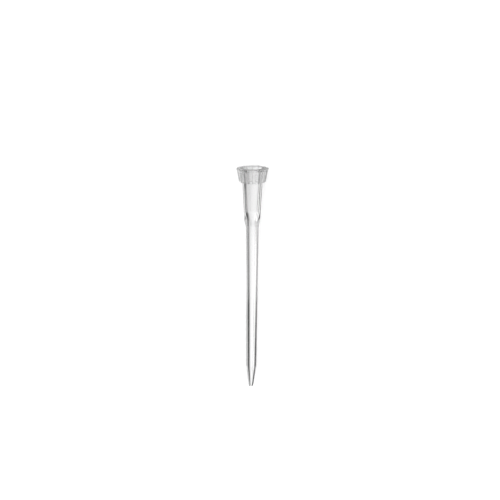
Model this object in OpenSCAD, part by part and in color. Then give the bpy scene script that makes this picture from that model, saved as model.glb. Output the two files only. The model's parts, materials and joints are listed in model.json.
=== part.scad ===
// Long pipette tip with a ribbed collar, moulded in one piece of clear plastic.
// It lies on its side: two neighbouring ribs of the collar and the lower end of the
// shaft touch the ground at Z = 0, and the open collar points along +Y.

/* [Overall] */
// Length from the rim of the collar to the outlet
tip_length = 46; // [38:0.5:60]
// Diameter across the rib crests at the rim
rim_d = 6.7; // [5.6:0.1:8.2]

/* [Collar] */
// Height of the collar, from the rim to its underside
collar_h = 3; // [2.4:0.1:4.5]
// Diameter across the rib crests at the collar's underside
collar_base_d = 5.46; // [5.1:0.02:6.4]
// Number of ribs around the collar
rib_count = 12; // [8:1:18]
// Thickness of each rib
rib_w = 0.52; // [0.3:0.02:0.7]
// Rounding of the ribs' lower ends
rib_round = 0.45; // [0.1:0.05:0.6]
// Depth of the ribs under the lip, from their crests to the wall between them
rib_depth = 0.68; // [0.3:0.02:0.8]
// How far the wall between the ribs stands out from the neck, at the collar's underside
web_step = 0.21; // [0.15:0.01:0.3]
// Height of the plain lip that closes the ribs at the rim
lip_h = 0.36; // [0.2:0.02:0.8]
// How far the lip stands inside the rib crests
lip_inset = 0.07; // [0.06:0.01:0.3]

/* [Neck and shaft] */
// Neck diameter at the collar's underside
neck_top_d = 4.12; // [3.6:0.02:4.2]
// Neck diameter where the shoulder starts
neck_end_d = 3.34; // [3:0.02:3.8]
// Length of the neck
neck_h = 7.6; // [7.2:0.1:12]
// Height of the shoulder between the neck and the shaft
shoulder_h = 1.4; // [0.8:0.1:2.5]
// Shaft diameter under the shoulder
shaft_top_d = 2.76; // [2.3:0.02:2.9]
// Shaft diameter above the point
shaft_end_d = 2.26; // [2:0.02:2.6]

/* [Point] */
// Height of the step from the shaft to the point
step_h = 1; // [0.7:0.1:2]
// Diameter of the point under the step
point_top_d = 1.9; // [1.5:0.02:2]
// Length of the point below the step
point_h = 3.4; // [2:0.1:6]
// Outside diameter at the outlet
outlet_outer_d = 0.94; // [0.7:0.02:1.2]

/* [Bore] */
// Diameter of the mouth at the rim
mouth_d = 3.9; // [3.3:0.05:4.4]
// Depth of the lead-in under the rim
mouth_h = 0.7; // [0.3:0.05:1.2]
// Socket diameter under the lead-in, where the pipette's cone enters
socket_top_d = 3.03; // [2.6:0.01:3.2]
// Socket diameter at its lower end
socket_end_d = 2.2; // [1.8:0.02:2.7]
// How far above the neck's lower end the socket ends
socket_lift = 1.4; // [0.8:0.1:2.5]
// Height of the funnel under the socket
funnel_h = 1.8; // [0.8:0.1:2.2]
// Bore diameter under the funnel
bore_top_d = 1.5; // [1.2:0.02:1.8]
// Bore diameter above the point
bore_end_d = 0.94; // [0.8:0.02:1.16]
// Bore diameter at the outlet
outlet_d = 0.3; // [0.25:0.01:0.5]

/* [Rounding] */
// Rounding of the outer edges of the rim and the lip
rim_round = 0.1; // [0.04:0.01:0.15]
// Fillet where the wall between the ribs meets the lip
web_fillet = 0.14; // [0.05:0.01:0.15]
// Rounding of the shoulder, outside
shoulder_round = 1.4; // [0.5:0.1:2]
// Rounding of the funnel, inside
funnel_round = 0.4; // [0.2:0.1:1.5]
// Rounding of the step above the point
step_round = 2.2; // [0.5:0.1:3]
// Rounding of the outlet's outer edge
outlet_round = 0.08; // [0.03:0.01:0.12]

/* [Hidden] */

plastic = [0.87, 0.89, 0.9];
$fn = 96;
over = 1;  // how far a cutting shape reaches past what it cuts
arc_sag = 0.0015;  // largest gap between a rounding and the chords that make it

// Heights along the tip's own axis: the outlet is at 0 and the rim at tip_length.
step_z = point_h;
shaft_z = step_z + step_h;
collar_z = tip_length - collar_h;
neck_z = collar_z - neck_h;
shoulder_z = neck_z - shoulder_h;
lip_z = tip_length - lip_h;
mouth_z = tip_length - mouth_h;
socket_z = neck_z + socket_lift;
funnel_z = socket_z - funnel_h;

// Radius of the rib crests, which lie on a cone.
function crest_r(z) = (collar_base_d + (rim_d - collar_base_d) * (z - collar_z) / collar_h) / 2;

// Radius of the lip's side, which follows the crests.
function lip_r(z) = crest_r(z) - lip_inset;

// The tip lies on the nearest edges of two ribs, or on the lip where that stands further out.
rest_z = tip_length - rim_round;
rest_angle = 180 / rib_count - asin(rib_w / 2 / crest_r(rest_z));
rest_r = max(lip_r(rest_z), crest_r(rest_z) * cos(rest_angle));
shaft_rest_r = shaft_end_d / 2;
lying_tilt = atan((rest_r - shaft_rest_r) / (rest_z - shaft_z));

// The narrow step under the wall between the ribs takes half the fillet, inside and outside.
underside_round = web_fillet / 2;

// Place of the outlet's centre once the tip lies down, which puts the origin under its middle.
outlet_up = shaft_rest_r * cos(lying_tilt) - shaft_z * sin(lying_tilt);
front_y = tip_length * cos(lying_tilt) + rest_r * sin(lying_tilt);
back_y = -outlet_outer_d / 2 * sin(lying_tilt);
outlet_y = -(front_y + back_y) / 2;

function unit(v) = v / norm(v);

// How far the outline turns at corner p on the way from a to b, in degrees.
function turn(a, p, b) = acos(unit(p - a) * unit(b - p));

// The points that replace corner p with an arc of radius r, which touches the lines to a and b.
function arc(a, p, b, r) =
    let (
        bend = turn(a, p, b),
        start = p + unit(a - p) * r * tan(bend / 2),
        inward = unit(unit(a - p) + unit(b - p)),
        centre = p + inward * r / cos(bend / 2),
        side = sign(cross(p - a, b - p)),
        steps = max(1, ceil(bend / (2 * acos(1 - arc_sag / r))))
    )
    [
        for (i = [0:steps])
            let (swing = side * bend * i / steps, spoke = start - centre)
            centre + [
                spoke.x * cos(swing) - spoke.y * sin(swing),
                spoke.x * sin(swing) + spoke.y * cos(swing)
            ]
    ];

// A closed outline from a list of [radius, height, rounding] corners.
module rounded_outline(corners) {
    last = len(corners) - 1;
    spots = [for (c = corners) [c.x, c.y]];
    polygon([
        for (i = [0:last])
            each corners[i].z == 0
                ? [spots[i]]
                : arc(spots[i - 1], spots[i], spots[i + 1], corners[i].z)
    ]);
}

// Point, shaft, shoulder, neck, wall between the ribs and lip, as one turned solid.
module outer_form() {
    rotate_extrude()
        rounded_outline([
            [0, 0, 0],
            [outlet_outer_d / 2, 0, outlet_round],
            [point_top_d / 2, step_z, step_round],
            [shaft_end_d / 2, shaft_z, step_round],
            [shaft_top_d / 2, shoulder_z, shoulder_round],
            [neck_end_d / 2, neck_z, shoulder_round],
            [neck_top_d / 2, collar_z, underside_round],
            [neck_top_d / 2 + web_step, collar_z, underside_round],
            [crest_r(lip_z) - rib_depth, lip_z, web_fillet],
            [lip_r(lip_z), lip_z, rim_round],
            [lip_r(tip_length), tip_length, rim_round],
            [0, tip_length, 0],
        ]);
}

// The cone that the rib crests lie on, rounded at its lower edge and at the rim.
module crest_cone() {
    rotate_extrude()
        rounded_outline([
            [0, collar_z, 0],
            [crest_r(collar_z), collar_z, rib_round],
            [crest_r(tip_length), tip_length, rim_round],
            [0, tip_length, 0],
        ]);
}

// Straight bars through the axis, half a pitch away from the ground on either side.
module rib_bars() {
    pitch = 360 / rib_count;
    for (i = [0:rib_count - 1])
        rotate([0, 0, (i + 0.5) * pitch + 90])
            translate([0, -rib_w / 2, collar_z - over])
                cube([rim_d, rib_w, collar_h + 2 * over]);
}

module ribs() {
    intersection() {
        crest_cone();
        rib_bars();
    }
}

// Mouth, socket, funnel, shaft bore and outlet, as one turned cutting shape.
module bore() {
    rotate_extrude()
        rounded_outline([
            [0, -over, 0],
            [outlet_d / 2, -over, 0],
            [outlet_d / 2, 0, 0],
            [bore_end_d / 2, shaft_z, step_round],
            [bore_top_d / 2, funnel_z, funnel_round],
            [socket_end_d / 2, socket_z, funnel_round],
            [socket_top_d / 2, mouth_z, funnel_round],
            [mouth_d / 2, tip_length, 0],
            [mouth_d / 2, tip_length + over, 0],
            [0, tip_length + over, 0],
        ]);
}

// Turns a tip that stands on its outlet so that it lies on its side, as it comes to rest.
module lie_down() {
    translate([0, outlet_y, outlet_up])
        rotate([lying_tilt - 90, 0, 0])
            children();
}

module pipette_tip() {
    color(plastic)
        lie_down()
            difference() {
                union() {
                    outer_form();
                    ribs();
                }
                bore();
            }
}

pipette_tip();
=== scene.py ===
"""Looks of the pipette tip: clear plastic on a pale floor under soft studio light.

The frame gives the tip's place and direction. Its sizes below are the part's own, in millimetres.
"""

import json
import math
from collections import namedtuple

import bpy
from mathutils import Matrix, Vector


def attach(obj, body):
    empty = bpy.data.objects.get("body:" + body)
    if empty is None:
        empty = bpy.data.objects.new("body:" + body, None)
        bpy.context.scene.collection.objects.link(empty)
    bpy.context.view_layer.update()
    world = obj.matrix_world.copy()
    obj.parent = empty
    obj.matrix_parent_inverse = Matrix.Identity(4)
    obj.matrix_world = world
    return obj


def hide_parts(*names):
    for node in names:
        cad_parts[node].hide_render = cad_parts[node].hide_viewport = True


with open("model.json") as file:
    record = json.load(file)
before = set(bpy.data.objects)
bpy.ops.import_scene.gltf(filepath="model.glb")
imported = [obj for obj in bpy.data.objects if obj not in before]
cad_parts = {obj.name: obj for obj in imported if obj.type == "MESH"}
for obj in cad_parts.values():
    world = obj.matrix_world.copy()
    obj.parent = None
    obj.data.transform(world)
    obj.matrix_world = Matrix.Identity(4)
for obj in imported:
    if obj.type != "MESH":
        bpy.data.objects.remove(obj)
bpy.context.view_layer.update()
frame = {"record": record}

MM = 0.001

# Sizes of the part, in millimetres. Heights run from the outlet at 0 to the rim.
TIP_LENGTH = 46.0
RIM_D = 6.7
COLLAR_H = 3.0
COLLAR_BASE_D = 5.46
RIB_COUNT = 12
RIB_W = 0.52
RIB_ROUND = 0.45
RIB_DEPTH = 0.68
WEB_STEP = 0.21
LIP_H = 0.36
LIP_INSET = 0.07
NECK_TOP_D = 4.12
NECK_END_D = 3.34
NECK_H = 7.6
SHOULDER_H = 1.4
SHAFT_TOP_D = 2.76
SHAFT_END_D = 2.26
STEP_H = 1.0
POINT_TOP_D = 1.9
POINT_H = 3.4
OUTLET_OUTER_D = 0.94
MOUTH_D = 3.9
MOUTH_H = 0.7
SOCKET_TOP_D = 3.03
SOCKET_END_D = 2.2
SOCKET_LIFT = 1.4
FUNNEL_H = 1.8
BORE_TOP_D = 1.5
BORE_END_D = 0.94
OUTLET_D = 0.3
RIM_ROUND = 0.1
WEB_FILLET = 0.14
SHOULDER_ROUND = 1.4
FUNNEL_ROUND = 0.4
STEP_ROUND = 2.2
OUTLET_ROUND = 0.08

# Fine roundings that only the looks need. One takes at most this share of the height of a rib.
RIB_EDGE_ROUND = 0.06
RIB_ROOT_FILLET = 0.07
BORE_EDGE_ROUND = 0.05
RIB_ROUND_SHARE = 0.4

# Heights along the tip's axis.
STEP_Z = POINT_H
SHAFT_Z = STEP_Z + STEP_H
COLLAR_Z = TIP_LENGTH - COLLAR_H
NECK_Z = COLLAR_Z - NECK_H
SHOULDER_Z = NECK_Z - SHOULDER_H
LIP_Z = TIP_LENGTH - LIP_H
MOUTH_Z = TIP_LENGTH - MOUTH_H
SOCKET_Z = NECK_Z + SOCKET_LIFT
FUNNEL_Z = SOCKET_Z - FUNNEL_H

# Steps of a rounding on the body and in the bore, and the gap between rings on a straight stretch.
BEND_STEPS = 9
RING_GAP = 1.5

# Steps up the collar, from its underside to the rim.
FOOT_BEND_STEPS = 6
FOOT_LEG_STEPS = 6
WALL_LEG_STEPS = 5
WALL_BEND_STEPS = 6
LEDGE_STEPS = 4
LIP_BEND_STEPS = 5
LIP_LEG_STEPS = 2
RIM_BEND_STEPS = 6

# The rounded end of a rib stands beside this share of the wall. The rings of the ledge under the
# lip spread this far either way on the crests.
FOOT_SHARE = 0.2
LEDGE_SPREAD = 0.04

# Steps round half a pitch of the collar, from the middle of the wall to the middle of a rib.
WALL_STEPS = 5
ROOT_STEPS = 3
SIDE_STEPS = 2
EDGE_STEPS = 3
CREST_STEPS = 2
PITCH = 2 * math.pi / RIB_COUNT
RING_POINTS = 2 * RIB_COUNT * (WALL_STEPS + ROOT_STEPS + SIDE_STEPS + EDGE_STEPS + CREST_STEPS)

# Roughness at heights along the tip: the socket and the collar are frosted, the shaft is polished.
POLISH = 0.02
COLLAR_FROST = 0.15
COLLAR_FROST_FADE = 0.2
SOCKET_FROST = 0.12
SOCKET_FROST_FADE = 0.4
SOCKET_FROST_END = SOCKET_Z - 0.2
MOUTH_FROST = 0.35
OUTER_ROUGH = (
    (0, POLISH), (COLLAR_Z - COLLAR_FROST_FADE, POLISH),
    (COLLAR_Z, COLLAR_FROST), (TIP_LENGTH, COLLAR_FROST),
)
BORE_ROUGH = (
    (0, POLISH), (14, 0.03), (30, 0.05), (SOCKET_FROST_END - SOCKET_FROST_FADE, 0.05),
    (SOCKET_FROST_END, SOCKET_FROST), (COLLAR_Z, SOCKET_FROST), (TIP_LENGTH, MOUTH_FROST),
)
PLASTIC_TINT = 0.98
PLASTIC_IOR = 1.49

# Grain: the size of its spots, how far they are drawn out along the tip, how much they change the
# roughness and how deep they are.
GRAIN_SIZE = 0.7 * MM
GRAIN_STRETCH = 4
GRAIN_DETAIL = 2
GRAIN_SHARE = 0.3
GRAIN_DEPTH = 0.002 * MM

# The camera: a long lens that looks down on the lying tip and leans towards its collar. The
# picture's middle is this far from the middle of the rim, to the right and up.
LEAN_TO_COLLAR = math.radians(11)
TURN_ROUND_TIP = math.radians(8.5)
ROLL = math.radians(-0.45)
LENS_MM = 200
SENSOR_MM = 36
FIELD = 102.8 * MM
AIM_FROM_RIM = (-0.53 * MM, -16.876 * MM)
CLIP_START = 0.01
CLIP_END = 10

# The floor: pale matt paper.
FLOOR_SIZE = 2
FLOOR_LEVEL = 0.9
PAPER_ROUGH_LEAST = 0.8
PAPER_ROUGH_SPREAD = 0.2
PAPER_GRAIN_SIZE = 0.5 * MM
PAPER_GRAIN_DEPTH = 0.01 * MM

# Light from all round, and a fill from above that keeps the paper white and throws no shadow.
WORLD_STRENGTH = 1
FILL_STRENGTH = 1.35
FILL_SIZE = math.radians(30)
FILL_LEAN = math.radians(-12)

# A round tent stands about the tip, and only the plastic sees it. A panel on it goes round the
# tip from start to end, in degrees from straight down and growing towards +X, and along it from
# low to high, in millimetres from the outlet. Later panels cover earlier ones. The far panels
# draw the tip's edges in views from the sides and ends, and the near ones in the main view.
TENT_RADIUS = 80 * MM
TENT_LENGTH = 800 * MM
TENT_SIDES = 96
HALF_TURN = 180
CLOTH_LEVEL = 0.7
Panel = namedtuple("Panel", "name start end soft low high fade level")


def both_sides(name, start, end, *rest):
    """A panel on the right and its mirror image on the left."""
    return Panel("right_" + name, start, end, *rest), Panel("left_" + name, -end, -start, *rest)


PANELS = (
    *both_sides("far_low_strip", 14, 42, 10, -300, 300, 12, 0.15),
    *both_sides("far_softbox", 45, 100, 10, -300, 300, 12, 1.0),
    *both_sides("far_high_strip", 103, 135, 10, -300, 300, 12, 0.15),
    Panel("near_cloth", -200, 200, 10, -36, 66, 16, CLOTH_LEVEL),
    Panel("paper_below", 0, 50, 50, -36, 66, 16, 0.8),
    Panel("right_softbox", 0, 225, 60, -24, 20, 12, 1.4),
    Panel("left_card", -150, -65, 15, -30, 10, 12, 0.3),
    Panel("left_flag", -80, -27, 8, -24, 6, 18, 0.0),
    Panel("left_flag_end", -110, -30, 10, 4, 20, 12, 0.3),
    Panel("neck_left_flag", -75, -40, 10, 24, 38, 12, 0.0),
    Panel("left_gap", -50, -40, 10, 6, 54, 12, 0.0),
    Panel("right_gap", 20, 40, 10, 6, 38, 28, 0.0),
    Panel("right_fill", 15, 45, 10, -22, 4, 12, 0.5),
    Panel("top_card", -220, -75, 15, 28, 62, 12, 0.3),
    Panel("neck_softbox", 55, 175, 10, 14, 36, 12, 1.3),
    Panel("neck_paper", -10, 10, 10, 14, 42, 28, 0.95),
)


# ---- The tip's own directions ----

def tip_axis():
    """The middle of the rim and the direction from the outlet to the rim, from the socket's mount."""
    mounts = {mount["name"]: mount for mount in frame["record"]["mounts"]}
    axis = Vector(mounts["socket"]["axis"]).normalized()
    return Vector(mounts["socket"]["pos_m"]) + axis * MOUTH_H * MM, axis


RIM, AXIS = tip_axis()
SIDE = Vector((1, 0, 0))
UP = SIDE.cross(AXIS)


# ---- Outlines: points are (radius, height) in millimetres ----

def unit(v):
    return v.normalized()


def arc(a, p, b, radius, steps):
    """The points that replace corner p with an arc, which touches the lines to a and b."""
    to_a = unit(a - p)
    to_b = unit(b - p)
    bend = math.pi - to_a.angle(to_b)
    centre = p + unit(to_a + to_b) * radius / math.cos(bend / 2)
    spoke = p + to_a * radius * math.tan(bend / 2) - centre
    side = math.copysign(1, (p - a).cross(b - p))
    return [centre + Matrix.Rotation(side * bend * i / steps, 2) @ spoke for i in range(steps + 1)]


def leg(start, end, steps):
    """Points from start to end, without the first."""
    return [start.lerp(end, i / steps) for i in range(1, steps + 1)]


def crest_r(z):
    """Radius of the rib crests, which lie on a cone."""
    return (COLLAR_BASE_D + (RIM_D - COLLAR_BASE_D) * (z - COLLAR_Z) / COLLAR_H) / 2


def lip_r(z):
    """Radius of the lip's side, which follows the crests."""
    return crest_r(z) - LIP_INSET


def on_crest(z):
    return Vector((crest_r(z), z))


def even_leg(start, end):
    """Points from start to end, without the first and with no long gap."""
    return leg(start, end, max(1, round((end - start).length / RING_GAP)))


def smooth_path(corners):
    """A path through (radius, height, rounding) corners."""
    spots = [Vector(corner[:2]) for corner in corners]
    path = [spots[0]]
    for i in range(1, len(corners) - 1):
        bend = arc(spots[i - 1], spots[i], spots[i + 1], corners[i][2], BEND_STEPS)
        path += even_leg(path[-1], bend[0]) + bend[1:]
    return path + even_leg(path[-1], spots[-1])


def body_path():
    """From the middle of the outlet's face, along the outside, to the collar's underside."""
    return smooth_path([
        ((OUTLET_OUTER_D + OUTLET_D) / 4, 0, 0),
        (OUTLET_OUTER_D / 2, 0, OUTLET_ROUND),
        (POINT_TOP_D / 2, STEP_Z, STEP_ROUND),
        (SHAFT_END_D / 2, SHAFT_Z, STEP_ROUND),
        (SHAFT_TOP_D / 2, SHOULDER_Z, SHOULDER_ROUND),
        (NECK_END_D / 2, NECK_Z, SHOULDER_ROUND),
        (NECK_TOP_D / 2, COLLAR_Z, WEB_FILLET / 2),
        (NECK_TOP_D / 2 + WEB_STEP / 2, COLLAR_Z, 0),
    ])


def bore_path():
    """From the middle of the rim's face, down the bore, to the outlet's face."""
    return smooth_path([
        ((MOUTH_D / 2 + lip_r(TIP_LENGTH)) / 2, TIP_LENGTH, 0),
        (MOUTH_D / 2, TIP_LENGTH, BORE_EDGE_ROUND),
        (SOCKET_TOP_D / 2, MOUTH_Z, FUNNEL_ROUND),
        (SOCKET_END_D / 2, SOCKET_Z, FUNNEL_ROUND),
        (BORE_TOP_D / 2, FUNNEL_Z, FUNNEL_ROUND),
        (BORE_END_D / 2, SHAFT_Z, STEP_ROUND),
        (OUTLET_D / 2, 0, BORE_EDGE_ROUND),
        (OUTLET_D / 2 + OUTLET_ROUND, 0, 0),
    ])


def collar_paths():
    """Two paths up the collar with as many points: on the wall between the ribs and on the crests."""
    neck = Vector((NECK_TOP_D / 2, COLLAR_Z))
    wall_foot = neck + Vector((WEB_STEP, 0))
    wall_top = Vector((crest_r(LIP_Z) - RIB_DEPTH, LIP_Z))
    lip_foot = Vector((lip_r(LIP_Z), LIP_Z))
    lip_top = Vector((lip_r(TIP_LENGTH), TIP_LENGTH))
    centre_top = Vector((0, TIP_LENGTH))
    crest_foot = on_crest(COLLAR_Z)
    crest_top = on_crest(TIP_LENGTH)

    foot_bend = arc(neck, wall_foot, wall_top, WEB_FILLET / 2, FOOT_BEND_STEPS)
    wall_bend = arc(wall_foot, wall_top, lip_foot, WEB_FILLET, WALL_BEND_STEPS)
    lip_bend = arc(wall_top, lip_foot, lip_top, RIM_ROUND, LIP_BEND_STEPS)
    rim_bend = arc(lip_foot, lip_top, centre_top, RIM_ROUND, RIM_BEND_STEPS)
    end_bend = arc(neck, crest_foot, crest_top, RIB_ROUND, FOOT_BEND_STEPS + FOOT_LEG_STEPS)
    crest_bend = arc(crest_foot, crest_top, centre_top, RIM_ROUND, RIM_BEND_STEPS)

    above_end = foot_bend[-1].lerp(wall_bend[0], FOOT_SHARE)
    wall = foot_bend + leg(foot_bend[-1], above_end, FOOT_LEG_STEPS)
    wall += leg(above_end, wall_bend[0], WALL_LEG_STEPS)
    wall += wall_bend[1:]
    wall += leg(wall_bend[-1], lip_bend[0], LEDGE_STEPS)
    wall += lip_bend[1:]
    wall += leg(lip_bend[-1], rim_bend[0], LIP_LEG_STEPS)
    wall += rim_bend[1:]

    beside_bend = on_crest(wall_bend[0].y)
    under_ledge = on_crest(LIP_Z - LEDGE_SPREAD)
    over_ledge = on_crest(LIP_Z + LEDGE_SPREAD)
    beside_lip = on_crest(lip_bend[-1].y)
    crest = end_bend + leg(end_bend[-1], beside_bend, WALL_LEG_STEPS)
    crest += leg(beside_bend, under_ledge, WALL_BEND_STEPS)
    crest += leg(under_ledge, over_ledge, LEDGE_STEPS)
    crest += leg(over_ledge, beside_lip, LIP_BEND_STEPS)
    crest += leg(beside_lip, crest_bend[0], LIP_LEG_STEPS)
    crest += crest_bend[1:]
    return wall, crest


# ---- Rings: points are (side, down, height) in millimetres ----

def round_ring(point):
    turns = [2 * math.pi * i / RING_POINTS for i in range(RING_POINTS)]
    return [Vector((point.x * math.sin(turn), point.x * math.cos(turn), point.y)) for turn in turns]


def sweep(centre, radius, start, end, steps):
    """Points of a small arc without the first: the angles are from the rib's own direction."""
    turns = [start + (end - start) * i / steps for i in range(1, steps + 1)]
    return [centre + Vector((math.cos(turn), math.sin(turn))) * radius for turn in turns]


def half_pitch(wall_r, top_r):
    """Half a pitch of the collar's section as (along the rib, across the rib), from wall to crest."""
    half_w = RIB_W / 2
    room = (top_r - wall_r) * RIB_ROUND_SHARE
    root = min(RIB_ROOT_FILLET, room)
    edge = min(RIB_EDGE_ROUND, room)
    root_at = Vector((math.sqrt((wall_r + root) ** 2 - (half_w + root) ** 2), half_w + root))
    edge_at = Vector((math.sqrt((top_r - edge) ** 2 - (half_w - edge) ** 2), half_w - edge))
    root_turn = math.atan2(root_at.y, root_at.x)
    edge_turn = math.atan2(edge_at.y, edge_at.x)
    middle = Vector((0, 0))
    points = [Vector((math.cos(PITCH / 2), math.sin(PITCH / 2))) * wall_r]
    points += sweep(middle, wall_r, PITCH / 2, root_turn, WALL_STEPS)
    points += sweep(root_at, root, root_turn + math.pi, 1.5 * math.pi, ROOT_STEPS)
    points += leg(points[-1], Vector((edge_at.x, half_w)), SIDE_STEPS)
    points += sweep(edge_at, edge, math.pi / 2, edge_turn, EDGE_STEPS)
    points += sweep(middle, top_r, edge_turn, 0, CREST_STEPS)
    return points


def collar_ring(wall, crest):
    """One ring round the collar. The section's height goes from the wall's to the crest's on the rib."""
    half = half_pitch(wall.x, crest.x)
    reach = [min(1, max(0, (point.length - wall.x) / (crest.x - wall.x))) for point in half]
    heights = [wall.y + (crest.y - wall.y) * share for share in reach]
    ring = []
    for i in range(RIB_COUNT):
        middle = (i + 0.5) * PITCH
        along = Vector((math.sin(middle), math.cos(middle)))
        across = Vector((math.cos(middle), -math.sin(middle)))
        first = [(p.x * along - p.y * across, z) for p, z in zip(half, heights)]
        second = [(p.x * along + p.y * across, z) for p, z in zip(half, heights)]
        ring += [Vector((spot.x, spot.y, z)) for spot, z in first[:-1] + second[:0:-1]]
    return ring


# ---- The visible tip ----

def tip_rings():
    """All rings in order, and how many of them are outside."""
    outside = [round_ring(point) for point in body_path()]
    outside += [collar_ring(wall, crest) for wall, crest in zip(*collar_paths())]
    bore = [round_ring(point) for point in bore_path()]
    return outside + bore, len(outside)


def place(point):
    """A point of the tip's own (side, down, height) in the frame, in metres."""
    return RIM + (SIDE * point.x - UP * point.y + AXIS * (point.z - TIP_LENGTH)) * MM


def closed_faces(ring_count):
    """Faces between each ring and the next. The last ring joins the first."""
    faces = []
    for i in range(ring_count):
        this = i * RING_POINTS
        after = (i + 1) % ring_count * RING_POINTS
        for k in range(RING_POINTS):
            side = (k + 1) % RING_POINTS
            faces.append((this + k, after + k, after + side, this + side))
    return faces


def make_tip(outer_material, bore_material):
    rings, outside_count = tip_rings()
    mesh = bpy.data.meshes.new("clear_tip")
    mesh.from_pydata([place(point) for ring in rings for point in ring], [], closed_faces(len(rings)))
    mesh.materials.append(outer_material)
    mesh.materials.append(bore_material)
    for face in mesh.polygons:
        face.use_smooth = True
        face.material_index = 0 if face.index < outside_count * RING_POINTS else 1
    tip = bpy.data.objects.new("clear_tip", mesh)
    bpy.context.scene.collection.objects.link(tip)
    tip.modifiers.new("even_shading", "WEIGHTED_NORMAL").keep_sharp = True
    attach(tip, "root")
    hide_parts("pipette_tip")


# ---- Materials ----

class Shading:
    """A new node material, with small helpers that add nodes and link them up."""

    def __init__(self, name):
        self.material = bpy.data.materials.new(name)
        self.material.use_nodes = True
        self.nodes = self.material.node_tree.nodes
        self.links = self.material.node_tree.links

    def put(self, socket, value):
        if isinstance(value, bpy.types.NodeSocket):
            self.links.new(value, socket)
        else:
            socket.default_value = value

    def maths(self, operation, *values):
        node = self.nodes.new("ShaderNodeMath")
        node.operation = operation
        for socket, value in zip(node.inputs, values):
            self.put(socket, value)
        return node.outputs["Value"]

    def mix(self, share, below, above):
        node = self.nodes.new("ShaderNodeMix")
        self.put(node.inputs["Factor"], share)
        self.put(node.inputs["A"], below)
        self.put(node.inputs["B"], above)
        return node.outputs["Result"]

    def window(self, distance, half, soft):
        """1 within half of the middle and 0 outside, over a smooth edge as wide as soft."""
        node = self.nodes.new("ShaderNodeMapRange")
        node.interpolation_type = "SMOOTHSTEP"
        self.put(node.inputs["Value"], distance)
        self.put(node.inputs["From Min"], half - soft / 2)
        self.put(node.inputs["From Max"], half + soft / 2)
        self.put(node.inputs["To Min"], 1)
        self.put(node.inputs["To Max"], 0)
        return node.outputs["Result"]

    def object_place(self):
        return self.nodes.new("ShaderNodeTexCoord").outputs["Object"]

    def height_ramp(self, stops):
        """A value that follows (height in millimetres, value) stops along the tip."""
        dot = self.nodes.new("ShaderNodeVectorMath")
        dot.operation = "DOT_PRODUCT"
        self.put(dot.inputs[0], self.object_place())
        self.put(dot.inputs[1], AXIS)
        share = self.nodes.new("ShaderNodeMapRange")
        rim_at = RIM.dot(AXIS)
        self.put(share.inputs["Value"], dot.outputs["Value"])
        self.put(share.inputs["From Min"], rim_at - TIP_LENGTH * MM)
        self.put(share.inputs["From Max"], rim_at)
        ramp = self.nodes.new("ShaderNodeValToRGB")
        self.put(ramp.inputs["Fac"], share.outputs["Result"])
        elements = ramp.color_ramp.elements
        elements.remove(elements[1])
        for i, (height, value) in enumerate(stops):
            element = elements[0] if i == 0 else elements.new(height / TIP_LENGTH)
            element.position = height / TIP_LENGTH
            element.color = (value, value, value, 1)
        return ramp.outputs["Color"]

    def grain(self, size, stretch):
        """Cloudy noise from 0 to 1, drawn out along Y, which is close to the tip's own axis."""
        scale = self.nodes.new("ShaderNodeMapping")
        self.put(scale.inputs["Vector"], self.object_place())
        self.put(scale.inputs["Scale"], (1 / size, 1 / size / stretch, 1 / size))
        noise = self.nodes.new("ShaderNodeTexNoise")
        self.put(noise.inputs["Vector"], scale.outputs["Vector"])
        self.put(noise.inputs["Scale"], 1)
        self.put(noise.inputs["Detail"], GRAIN_DETAIL)
        return noise.outputs["Fac"]

    def bump(self, height, depth):
        node = self.nodes.new("ShaderNodeBump")
        self.put(node.inputs["Strength"], 1)
        self.put(node.inputs["Distance"], depth)
        self.put(node.inputs["Height"], height)
        return node.outputs["Normal"]


def clear_plastic(name, rough_stops):
    shading = Shading(name)
    shader = shading.nodes["Principled BSDF"]
    shading.put(shader.inputs["Base Color"], (PLASTIC_TINT, PLASTIC_TINT, PLASTIC_TINT, 1))
    shading.put(shader.inputs["Transmission Weight"], 1)
    shading.put(shader.inputs["IOR"], PLASTIC_IOR)
    spots = shading.grain(GRAIN_SIZE, GRAIN_STRETCH)
    uneven = shading.maths("ADD", shading.maths("MULTIPLY", spots, 2 * GRAIN_SHARE), 1 - GRAIN_SHARE)
    rough = shading.maths("MULTIPLY", shading.height_ramp(rough_stops), uneven)
    shading.put(shader.inputs["Roughness"], rough)
    shading.put(shader.inputs["Normal"], shading.bump(spots, GRAIN_DEPTH))
    return shading.material


def paper():
    shading = Shading("floor")
    shader = shading.nodes["Principled BSDF"]
    shading.put(shader.inputs["Base Color"], (FLOOR_LEVEL, FLOOR_LEVEL, FLOOR_LEVEL, 1))
    shading.put(shader.inputs["Specular IOR Level"], 0)
    spots = shading.grain(PAPER_GRAIN_SIZE, 1)
    spread = shading.maths("MULTIPLY", spots, PAPER_ROUGH_SPREAD)
    shading.put(shader.inputs["Roughness"], shading.maths("ADD", spread, PAPER_ROUGH_LEAST))
    shading.put(shader.inputs["Normal"], shading.bump(spots, PAPER_GRAIN_DEPTH))
    return shading.material


def panel_share(shading, panel, angle, along):
    """How much a panel covers the tent at an angle round the tip and a place along it."""
    turned = shading.maths("SUBTRACT", angle, (panel.start + panel.end) / 2)
    turned = shading.maths("ABSOLUTE", shading.maths("WRAP", turned, HALF_TURN, -HALF_TURN))
    round_share = shading.window(turned, (panel.end - panel.start) / 2, panel.soft)
    moved = shading.maths("ABSOLUTE", shading.maths("SUBTRACT", along, (panel.low + panel.high) / 2))
    along_share = shading.window(moved, (panel.high - panel.low) / 2, panel.fade)
    return shading.maths("MULTIPLY", round_share, along_share)


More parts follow.
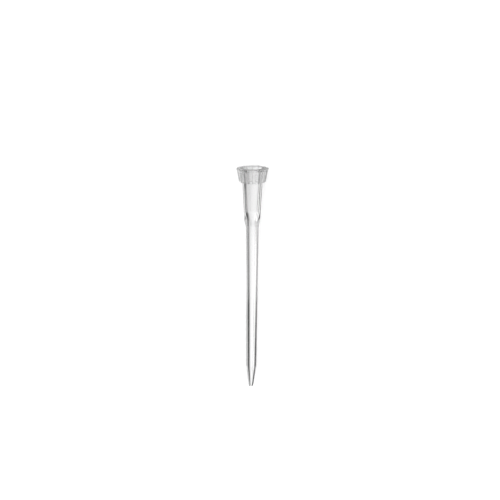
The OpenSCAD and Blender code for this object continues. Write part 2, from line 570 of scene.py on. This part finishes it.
def tent_light():
    """The tent's material: its local axes are SIDE, down and AXIS, and its middle is the outlet."""
    shading = Shading("tent_light")
    shading.nodes.remove(shading.nodes["Principled BSDF"])
    split = shading.nodes.new("ShaderNodeSeparateXYZ")
    shading.put(split.inputs["Vector"], shading.object_place())
    angle = shading.maths("DEGREES", shading.maths("ARCTAN2", split.outputs["X"], split.outputs["Y"]))
    along = shading.maths("DIVIDE", split.outputs["Z"], MM)
    level = CLOTH_LEVEL
    for panel in PANELS:
        level = shading.mix(panel_share(shading, panel, angle, along), level, panel.level)
    glow = shading.nodes.new("ShaderNodeEmission")
    shading.put(glow.inputs["Strength"], level)
    shading.put(shading.nodes["Material Output"].inputs["Surface"], glow.outputs["Emission"])
    shading.material.cycles.emission_sampling = "NONE"
    return shading.material


# ---- The stage ----

def make_camera():
    across = UP * math.cos(TURN_ROUND_TIP) + SIDE * math.sin(TURN_ROUND_TIP)
    back = across * math.cos(LEAN_TO_COLLAR) + AXIS * math.sin(LEAN_TO_COLLAR)
    image_up = (AXIS - back * AXIS.dot(back)).normalized()
    image_right = image_up.cross(back)
    turned_up = image_up * math.cos(ROLL) + image_right * math.sin(ROLL)
    turned_right = turned_up.cross(back)
    aim = RIM + turned_right * AIM_FROM_RIM[0] + turned_up * AIM_FROM_RIM[1]
    distance = FIELD * LENS_MM / SENSOR_MM
    data = bpy.data.cameras.new("camera")
    data.lens = LENS_MM
    data.sensor_width = SENSOR_MM
    data.clip_start = CLIP_START
    data.clip_end = CLIP_END
    camera = bpy.data.objects.new("camera", data)
    bpy.context.scene.collection.objects.link(camera)
    rotation = Matrix((turned_right, turned_up, back)).transposed().to_4x4()
    camera.matrix_world = Matrix.Translation(aim + back * distance) @ rotation
    bpy.context.scene.camera = camera


def make_floor():
    bpy.ops.mesh.primitive_plane_add(size=FLOOR_SIZE)
    floor = bpy.context.object
    floor.name = "floor"
    floor.data.materials.append(paper())
    floor.visible_transmission = False
    floor.visible_glossy = False


def make_tent():
    bpy.ops.mesh.primitive_cylinder_add(vertices=TENT_SIDES, radius=TENT_RADIUS, depth=TENT_LENGTH)
    tent = bpy.context.object
    tent.name = "tent"
    rotation = Matrix((SIDE, -UP, AXIS)).transposed().to_4x4()
    tent.matrix_world = Matrix.Translation(RIM - AXIS * TIP_LENGTH * MM) @ rotation
    tent.data.materials.append(tent_light())
    tent.visible_camera = False
    tent.visible_diffuse = False
    tent.visible_shadow = False


def make_fill():
    data = bpy.data.lights.new("fill", "SUN")
    data.energy = FILL_STRENGTH
    data.angle = FILL_SIZE
    data.use_shadow = False
    fill = bpy.data.objects.new("fill", data)
    fill.rotation_euler.x = FILL_LEAN
    fill.visible_glossy = False
    fill.visible_transmission = False
    bpy.context.scene.collection.objects.link(fill)


def make_world():
    world = bpy.data.worlds.new("studio")
    world.use_nodes = True
    background = world.node_tree.nodes["Background"]
    background.inputs["Color"].default_value = (1, 1, 1, 1)
    background.inputs["Strength"].default_value = WORLD_STRENGTH
    bpy.context.scene.world = world


make_tip(clear_plastic("clear_plastic", OUTER_ROUGH), clear_plastic("clear_plastic_bore", BORE_ROUGH))
make_camera()
make_floor()
make_tent()
make_fill()
make_world()
bpy.context.scene.view_settings.view_transform = "Standard"
